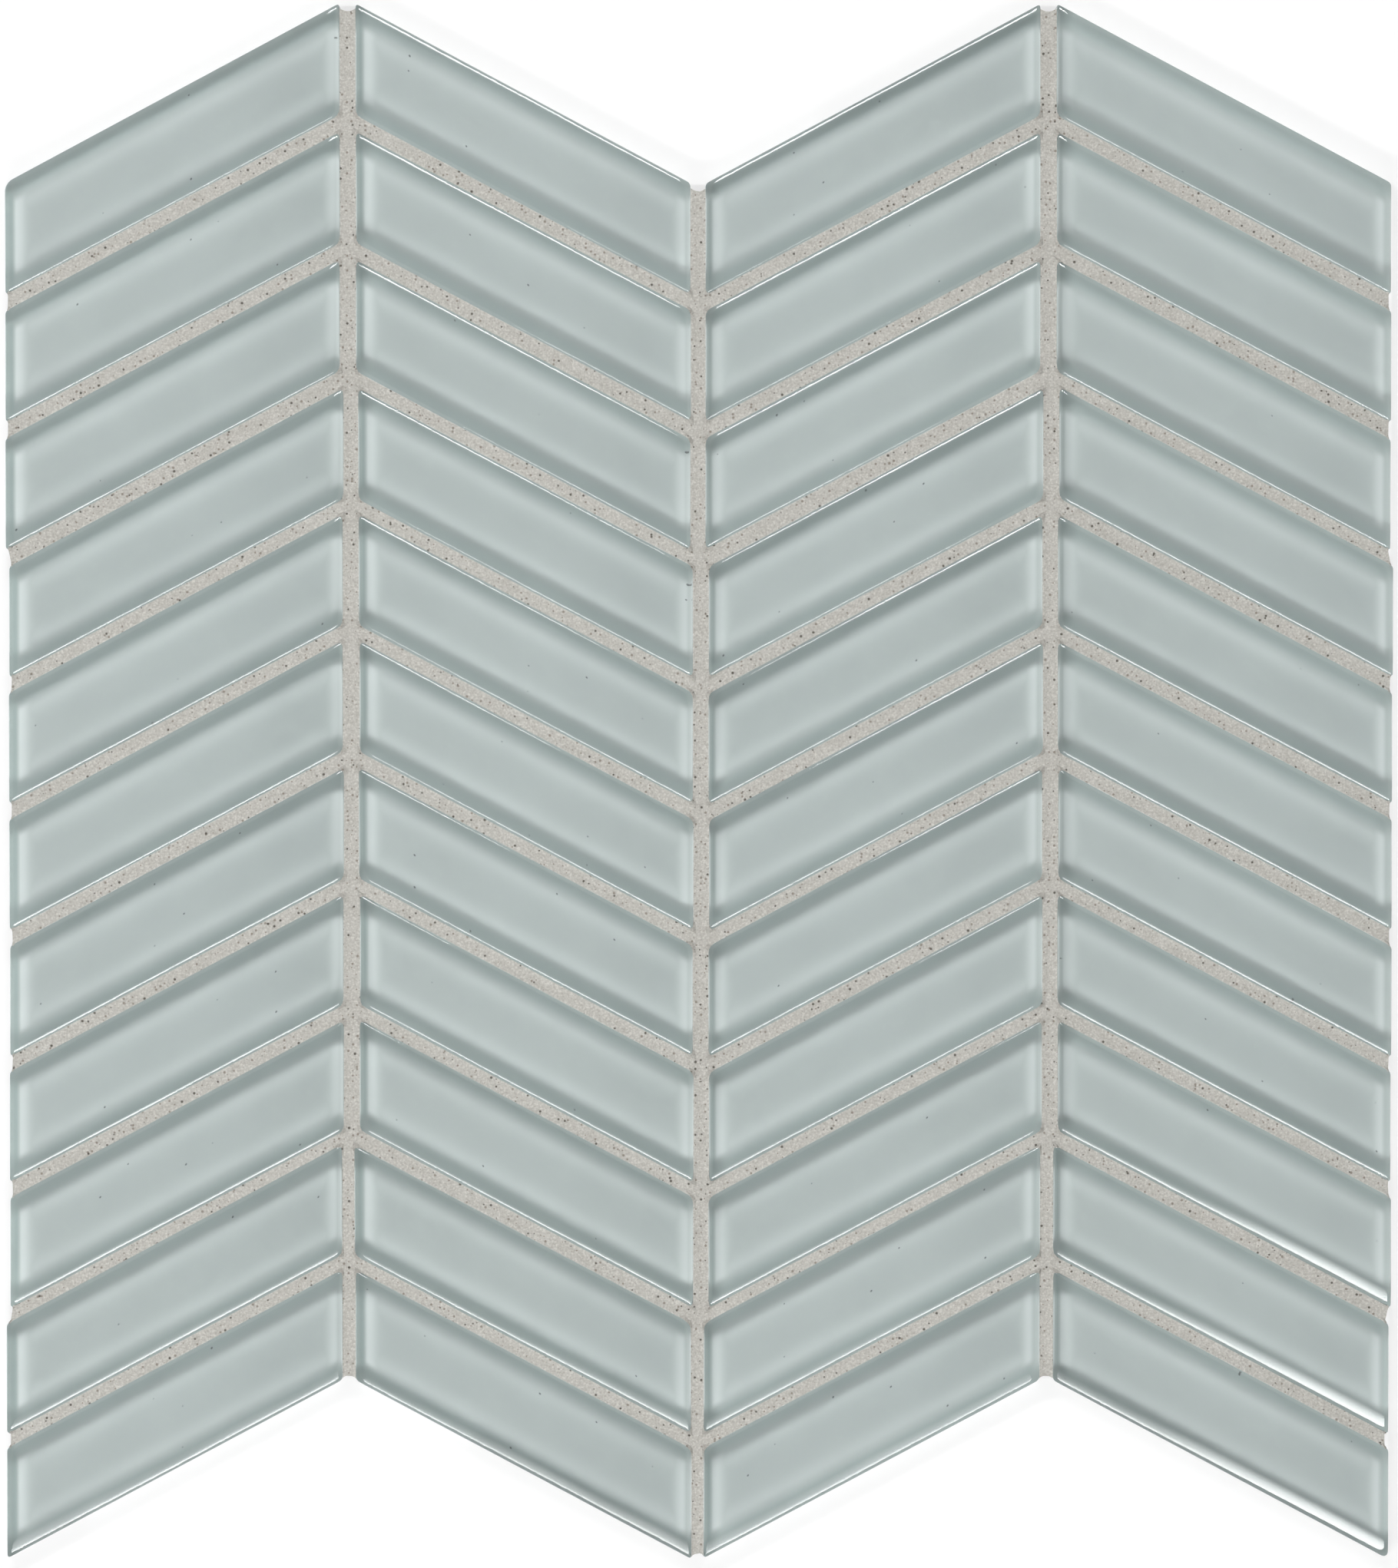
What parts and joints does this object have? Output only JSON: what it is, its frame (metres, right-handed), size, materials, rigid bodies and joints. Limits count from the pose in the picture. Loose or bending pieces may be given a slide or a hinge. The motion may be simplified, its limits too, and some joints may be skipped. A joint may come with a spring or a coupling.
{
  "type": "chevron wall tile",
  "caption": "Flat sheet of back-coloured glass mosaic chips laid as zigzag chevrons, set in sanded grout on a mesh, for covering a wall with nesting sheets.",
  "frame": {"origin": "middle of the sheet's back, on the plane it lies on", "axes": "+X to the right across the columns, +Y up the columns towards the upper points, +Z out of the glass face"},
  "size_m": [0.3016, 0.3392, 0.0084],
  "materials": {
    "glass": "clear polished glass with an opaque pale grey-blue colour coat on the back",
    "grout": "matt sanded cement, warm pale grey",
    "mesh": "glued glass-fibre net, off-white"
  },
  "bodies": {
    "root": {"backing_mesh_warp": "mesh", "backing_mesh_weft": "mesh", "chip_c1_r01": "glass", "chip_c1_r02": "glass", "chip_c1_r03": "glass", "chip_c1_r04": "glass", "chip_c1_r05": "glass", "chip_c1_r06": "glass", "chip_c1_r07": "glass", "chip_c1_r08": "glass", "chip_c1_r09": "glass", "chip_c1_r10": "glass", "chip_c1_r11": "glass", "chip_c2_r01": "glass", "chip_c2_r02": "glass", "chip_c2_r03": "glass", "chip_c2_r04": "glass", "chip_c2_r05": "glass", "chip_c2_r06": "glass", "chip_c2_r07": "glass", "chip_c2_r08": "glass", "chip_c2_r09": "glass", "chip_c2_r10": "glass", "chip_c2_r11": "glass", "chip_c3_r01": "glass", "chip_c3_r02": "glass", "chip_c3_r03": "glass", "chip_c3_r04": "glass", "chip_c3_r05": "glass", "chip_c3_r06": "glass", "chip_c3_r07": "glass", "chip_c3_r08": "glass", "chip_c3_r09": "glass", "chip_c3_r10": "glass", "chip_c3_r11": "glass", "chip_c4_r01": "glass", "chip_c4_r02": "glass", "chip_c4_r03": "glass", "chip_c4_r04": "glass", "chip_c4_r05": "glass", "chip_c4_r06": "glass", "chip_c4_r07": "glass", "chip_c4_r08": "glass", "chip_c4_r09": "glass", "chip_c4_r10": "glass", "chip_c4_r11": "glass", "grout": "grout"}
  },
  "joints": []
}
